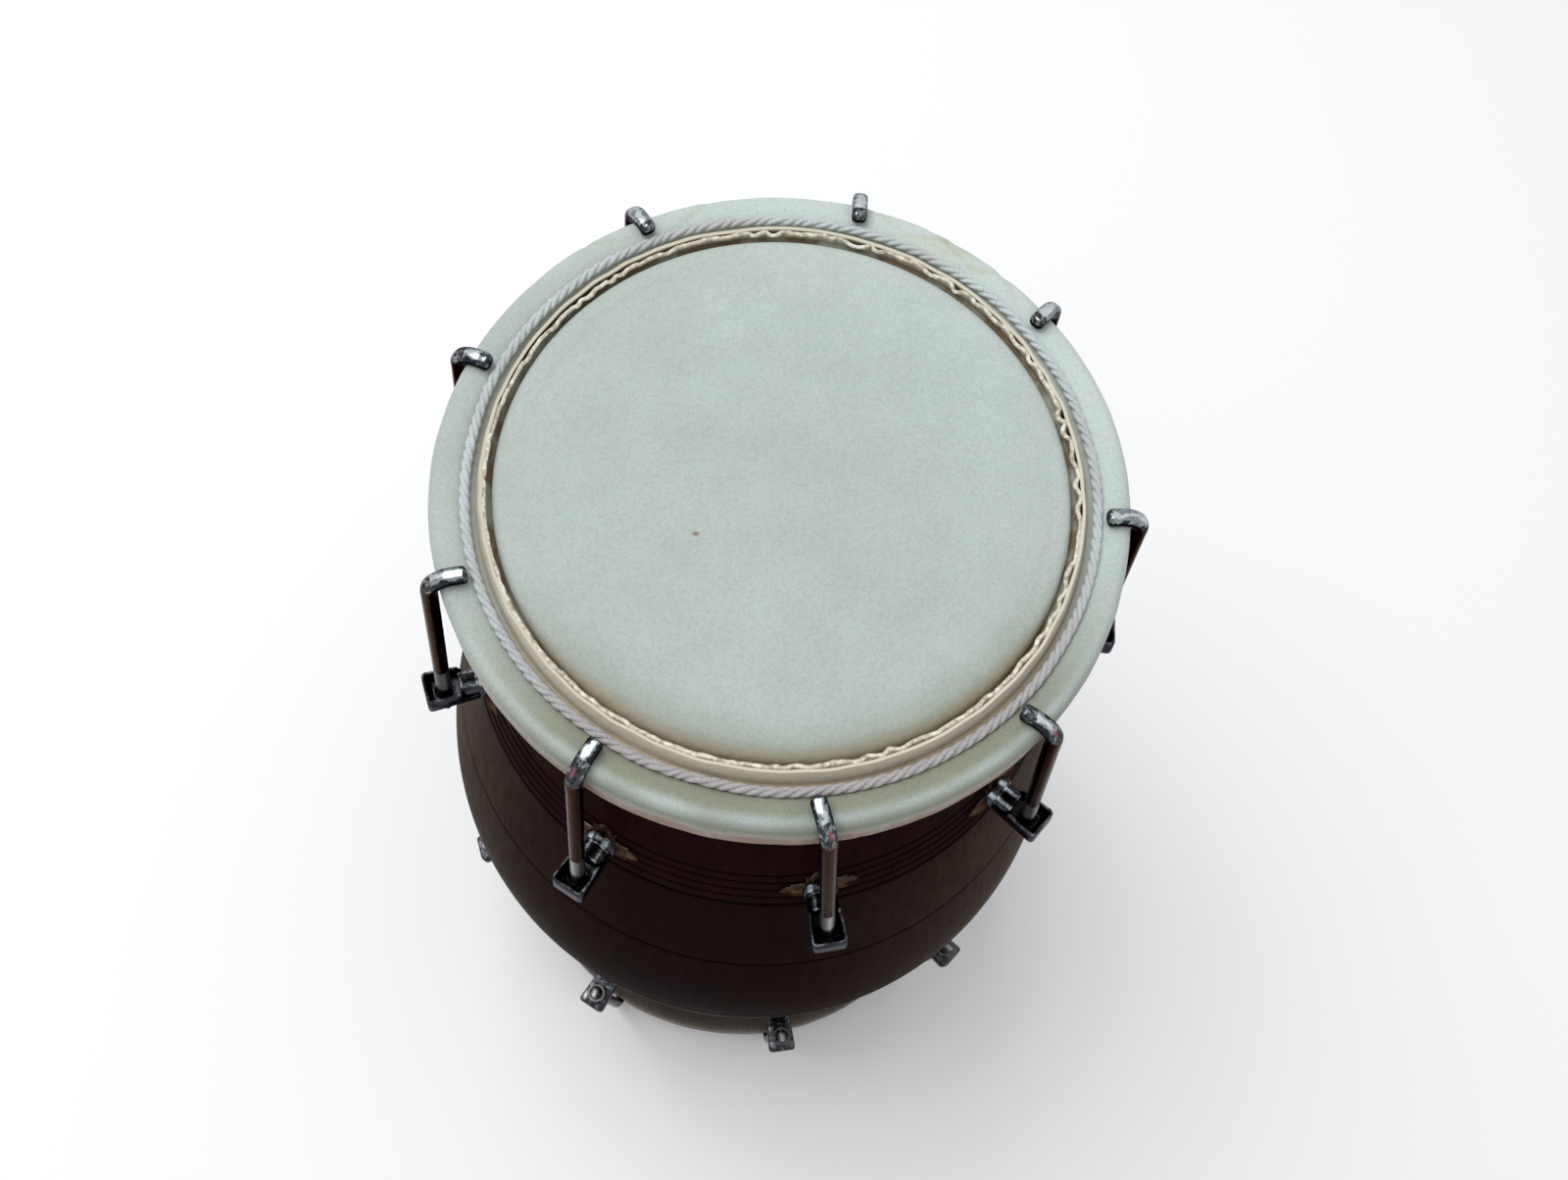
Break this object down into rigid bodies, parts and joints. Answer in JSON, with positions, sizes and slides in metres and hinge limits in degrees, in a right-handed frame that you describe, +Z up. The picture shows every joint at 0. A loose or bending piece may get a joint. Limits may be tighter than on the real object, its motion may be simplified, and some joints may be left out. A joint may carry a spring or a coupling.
{
  "type": "bolt-tuned barrel drum",
  "caption": "Two-headed barrel drum standing on its larger head, each rawhide head pulled down by a ring of hook bolts in cast lugs with tuning nuts.",
  "frame": {"origin": "on the floor plane under the middle of the standing drum, level with the outermost faces of the bass hook arms", "axes": "+Z up along the drum's axis from the bass head to the treble head; the first bolt of each end is 5 degrees past -Y towards +X, and the others follow every 40 degrees the way +X turns to +Y"},
  "size_m": [0.3329, 0.3329, 0.5324],
  "materials": {
    "lacquered_wood": "gloss lacquer",
    "rawhide": "dry, unfinished",
    "cane": "plain",
    "cotton": "three-strand rope",
    "brass": "tarnished",
    "chrome": "polished",
    "plated_steel": "plated"
  },
  "bodies": {
    "drum": {"shell": "lacquered_wood", "treble_skin": "rawhide", "treble_cord": "cotton", "treble_hoop": "cane", "bass_skin": "rawhide", "bass_hoop": "cane", "treble_lug_1": "chrome", "treble_lug_2": "chrome", "treble_lug_3": "chrome", "treble_lug_4": "chrome", "treble_lug_5": "chrome", "treble_lug_6": "chrome", "treble_lug_7": "chrome", "treble_lug_8": "chrome", "treble_lug_9": "chrome", "bass_lug_1": "chrome", "bass_lug_2": "chrome", "bass_lug_3": "chrome", "bass_lug_4": "chrome", "bass_lug_5": "chrome", "bass_lug_6": "chrome", "bass_lug_7": "chrome", "bass_lug_8": "chrome", "bass_lug_9": "chrome"},
    "treble_hook_1": {"treble_hook_1": "chrome"},
    "treble_nut_1": {"treble_nut_1": "plated_steel"},
    "treble_hook_2": {"treble_hook_2": "chrome"},
    "treble_nut_2": {"treble_nut_2": "plated_steel"},
    "treble_hook_3": {"treble_hook_3": "chrome"},
    "treble_nut_3": {"treble_nut_3": "plated_steel"},
    "treble_hook_4": {"treble_hook_4": "chrome"},
    "treble_nut_4": {"treble_nut_4": "plated_steel"},
    "treble_hook_5": {"treble_hook_5": "chrome"},
    "treble_nut_5": {"treble_nut_5": "plated_steel"},
    "treble_hook_6": {"treble_hook_6": "chrome"},
    "treble_nut_6": {"treble_nut_6": "plated_steel"},
    "treble_hook_7": {"treble_hook_7": "chrome"},
    "treble_nut_7": {"treble_nut_7": "plated_steel"},
    "treble_hook_8": {"treble_hook_8": "chrome"},
    "treble_nut_8": {"treble_nut_8": "plated_steel"},
    "treble_hook_9": {"treble_hook_9": "chrome"},
    "treble_nut_9": {"treble_nut_9": "plated_steel"},
    "bass_hook_1": {"bass_hook_1": "chrome"},
    "bass_nut_1": {"bass_nut_1": "plated_steel"},
    "bass_hook_2": {"bass_hook_2": "chrome"},
    "bass_nut_2": {"bass_nut_2": "plated_steel"},
    "bass_hook_3": {"bass_hook_3": "chrome"},
    "bass_nut_3": {"bass_nut_3": "plated_steel"},
    "bass_hook_4": {"bass_hook_4": "chrome"},
    "bass_nut_4": {"bass_nut_4": "plated_steel"},
    "bass_hook_5": {"bass_hook_5": "chrome"},
    "bass_nut_5": {"bass_nut_5": "plated_steel"},
    "bass_hook_6": {"bass_hook_6": "chrome"},
    "bass_nut_6": {"bass_nut_6": "plated_steel"},
    "bass_hook_7": {"bass_hook_7": "chrome"},
    "bass_nut_7": {"bass_nut_7": "plated_steel"},
    "bass_hook_8": {"bass_hook_8": "chrome"},
    "bass_nut_8": {"bass_nut_8": "plated_steel"},
    "bass_hook_9": {"bass_hook_9": "chrome"},
    "bass_nut_9": {"bass_nut_9": "plated_steel"}
  },
  "joints": [
    {"name": "treble_hook_1_slide", "type": "slide", "parent": "drum", "child": "treble_hook_1", "axis": [-0.0737, 0.0904, 0.9932], "range_m": [0, 0.006]},
    {"name": "treble_nut_1_turn", "type": "hinge", "parent": "drum", "child": "treble_nut_1", "pos_m": [0.01729, -0.14499, 0.41012], "axis": [0.0737, -0.0904, -0.9932], "range_deg": [0, 2160]},
    {"name": "treble_hook_2_slide", "type": "slide", "parent": "drum", "child": "treble_hook_2", "axis": [-0.1251, 0.012, 0.9921], "range_m": [0, 0.006]},
    {"name": "treble_nut_2_turn", "type": "hinge", "parent": "drum", "child": "treble_nut_2", "pos_m": [0.10521, -0.10125, 0.41012], "axis": [0.1251, -0.012, -0.9921], "range_deg": [0, 2160]},
    {"name": "treble_hook_3_slide", "type": "slide", "parent": "drum", "child": "treble_hook_3", "axis": [-0.0976, 0.0132, 0.9951], "range_m": [0, 0.006]},
    {"name": "treble_nut_3_turn", "type": "hinge", "parent": "drum", "child": "treble_nut_3", "pos_m": [0.1447, -0.01956, 0.41012], "axis": [0.0976, -0.0132, -0.9951], "range_deg": [0, 2160]},
    {"name": "treble_hook_4_slide", "type": "slide", "parent": "drum", "child": "treble_hook_4", "axis": [-0.0759, -0.0633, 0.9951], "range_m": [0, 0.006]},
    {"name": "treble_nut_4_turn", "type": "hinge", "parent": "drum", "child": "treble_nut_4", "pos_m": [0.1199, 0.08333, 0.41012], "axis": [0.0759, 0.0633, -0.9951], "range_deg": [0, 2160]},
    {"name": "treble_hook_5_slide", "type": "slide", "parent": "drum", "child": "treble_hook_5", "axis": [-0.0271, -0.0946, 0.9951], "range_m": [0, 0.006]},
    {"name": "treble_nut_5_turn", "type": "hinge", "parent": "drum", "child": "treble_nut_5", "pos_m": [0.04025, 0.14036, 0.41012], "axis": [0.0271, 0.0946, -0.9951], "range_deg": [0, 2160]},
    {"name": "treble_hook_6_slide", "type": "slide", "parent": "drum", "child": "treble_hook_6", "axis": [0.0405, -0.0897, 0.9951], "range_m": [0, 0.006]},
    {"name": "treble_nut_6_turn", "type": "hinge", "parent": "drum", "child": "treble_nut_6", "pos_m": [-0.06009, 0.13308, 0.41012], "axis": [-0.0405, 0.0897, -0.9951], "range_deg": [0, 2160]},
    {"name": "treble_hook_7_slide", "type": "slide", "parent": "drum", "child": "treble_hook_7", "axis": [0.0892, -0.0416, 0.9951], "range_m": [0, 0.006]},
    {"name": "treble_nut_7_turn", "type": "hinge", "parent": "drum", "child": "treble_nut_7", "pos_m": [-0.13233, 0.06171, 0.41012], "axis": [-0.0892, 0.0416, -0.9951], "range_deg": [0, 2160]},
    {"name": "treble_hook_8_slide", "type": "slide", "parent": "drum", "child": "treble_hook_8", "axis": [0.1018, 0.0003, 0.9948], "range_m": [0, 0.006]},
    {"name": "treble_nut_8_turn", "type": "hinge", "parent": "drum", "child": "treble_nut_8", "pos_m": [-0.14104, -0.03779, 0.41012], "axis": [-0.1018, -0.0003, -0.9948], "range_deg": [0, 2160]},
    {"name": "treble_hook_9_slide", "type": "slide", "parent": "drum", "child": "treble_hook_9", "axis": [0.0565, 0.0806, 0.9951], "range_m": [0, 0.006]},
    {"name": "treble_nut_9_turn", "type": "hinge", "parent": "drum", "child": "treble_nut_9", "pos_m": [-0.08375, -0.11961, 0.41012], "axis": [-0.0565, -0.0806, -0.9951], "range_deg": [0, 2160]},
    {"name": "bass_hook_1_slide", "type": "slide", "parent": "drum", "child": "bass_hook_1", "axis": [-0.0075, 0.0852, -0.9963], "range_m": [0, 0.006]},
    {"name": "bass_nut_1_turn", "type": "hinge", "parent": "drum", "child": "bass_nut_1", "pos_m": [0.01395, -0.15948, 0.12212], "axis": [0.0075, -0.0852, 0.9963], "range_deg": [0, 2160]},
    {"name": "bass_hook_2_slide", "type": "slide", "parent": "drum", "child": "bass_hook_2", "axis": [-0.0605, 0.0605, -0.9963], "range_m": [0, 0.006]},
    {"name": "bass_nut_2_turn", "type": "hinge", "parent": "drum", "child": "bass_nut_2", "pos_m": [0.1132, -0.1132, 0.12212], "axis": [0.0605, -0.0605, 0.9963], "range_deg": [0, 2160]},
    {"name": "bass_hook_3_slide", "type": "slide", "parent": "drum", "child": "bass_hook_3", "axis": [-0.0852, 0.0075, -0.9963], "range_m": [0, 0.006]},
    {"name": "bass_nut_3_turn", "type": "hinge", "parent": "drum", "child": "bass_nut_3", "pos_m": [0.15948, -0.01395, 0.12212], "axis": [0.0852, -0.0075, 0.9963], "range_deg": [0, 2160]},
    {"name": "bass_hook_4_slide", "type": "slide", "parent": "drum", "child": "bass_hook_4", "axis": [-0.07, -0.049, -0.9963], "range_m": [0, 0.006]},
    {"name": "bass_nut_4_turn", "type": "hinge", "parent": "drum", "child": "bass_nut_4", "pos_m": [0.13114, 0.09182, 0.12212], "axis": [0.07, 0.049, 0.9963], "range_deg": [0, 2160]},
    {"name": "bass_hook_5_slide", "type": "slide", "parent": "drum", "child": "bass_hook_5", "axis": [-0.0221, -0.0826, -0.9963], "range_m": [0, 0.006]},
    {"name": "bass_nut_5_turn", "type": "hinge", "parent": "drum", "child": "bass_nut_5", "pos_m": [0.04143, 0.15463, 0.12212], "axis": [0.0221, 0.0826, 0.9963], "range_deg": [0, 2160]},
    {"name": "bass_hook_6_slide", "type": "slide", "parent": "drum", "child": "bass_hook_6", "axis": [0.0361, -0.0775, -0.9963], "range_m": [0, 0.006]},
    {"name": "bass_nut_6_turn", "type": "hinge", "parent": "drum", "child": "bass_nut_6", "pos_m": [-0.06766, 0.14509, 0.12212], "axis": [-0.0361, 0.0775, 0.9963], "range_deg": [0, 2160]},
    {"name": "bass_hook_7_slide", "type": "slide", "parent": "drum", "child": "bass_hook_7", "axis": [0.0775, -0.0361, -0.9963], "range_m": [0, 0.006]},
    {"name": "bass_nut_7_turn", "type": "hinge", "parent": "drum", "child": "bass_nut_7", "pos_m": [-0.14509, 0.06766, 0.12212], "axis": [-0.0775, 0.0361, 0.9963], "range_deg": [0, 2160]},
    {"name": "bass_hook_8_slide", "type": "slide", "parent": "drum", "child": "bass_hook_8", "axis": [0.0826, 0.0221, -0.9963], "range_m": [0, 0.006]},
    {"name": "bass_nut_8_turn", "type": "hinge", "parent": "drum", "child": "bass_nut_8", "pos_m": [-0.15463, -0.04143, 0.12212], "axis": [-0.0826, -0.0221, 0.9963], "range_deg": [0, 2160]},
    {"name": "bass_hook_9_slide", "type": "slide", "parent": "drum", "child": "bass_hook_9", "axis": [0.049, 0.07, -0.9963], "range_m": [0, 0.006]},
    {"name": "bass_nut_9_turn", "type": "hinge", "parent": "drum", "child": "bass_nut_9", "pos_m": [-0.09182, -0.13114, 0.12212], "axis": [-0.049, -0.07, 0.9963], "range_deg": [0, 2160]}
  ],
  "couplings": [
    {"joint": "treble_nut_1_turn", "follows": "treble_hook_1_slide", "rad_per_m": 6283.2},
    {"joint": "treble_nut_2_turn", "follows": "treble_hook_2_slide", "rad_per_m": 6283.2},
    {"joint": "treble_nut_3_turn", "follows": "treble_hook_3_slide", "rad_per_m": 6283.2},
    {"joint": "treble_nut_4_turn", "follows": "treble_hook_4_slide", "rad_per_m": 6283.2},
    {"joint": "treble_nut_5_turn", "follows": "treble_hook_5_slide", "rad_per_m": 6283.2},
    {"joint": "treble_nut_6_turn", "follows": "treble_hook_6_slide", "rad_per_m": 6283.2},
    {"joint": "treble_nut_7_turn", "follows": "treble_hook_7_slide", "rad_per_m": 6283.2},
    {"joint": "treble_nut_8_turn", "follows": "treble_hook_8_slide", "rad_per_m": 6283.2},
    {"joint": "treble_nut_9_turn", "follows": "treble_hook_9_slide", "rad_per_m": 6283.2},
    {"joint": "bass_nut_1_turn", "follows": "bass_hook_1_slide", "rad_per_m": 6283.2},
    {"joint": "bass_nut_2_turn", "follows": "bass_hook_2_slide", "rad_per_m": 6283.2},
    {"joint": "bass_nut_3_turn", "follows": "bass_hook_3_slide", "rad_per_m": 6283.2},
    {"joint": "bass_nut_4_turn", "follows": "bass_hook_4_slide", "rad_per_m": 6283.2},
    {"joint": "bass_nut_5_turn", "follows": "bass_hook_5_slide", "rad_per_m": 6283.2},
    {"joint": "bass_nut_6_turn", "follows": "bass_hook_6_slide", "rad_per_m": 6283.2},
    {"joint": "bass_nut_7_turn", "follows": "bass_hook_7_slide", "rad_per_m": 6283.2},
    {"joint": "bass_nut_8_turn", "follows": "bass_hook_8_slide", "rad_per_m": 6283.2},
    {"joint": "bass_nut_9_turn", "follows": "bass_hook_9_slide", "rad_per_m": 6283.2}
  ]
}
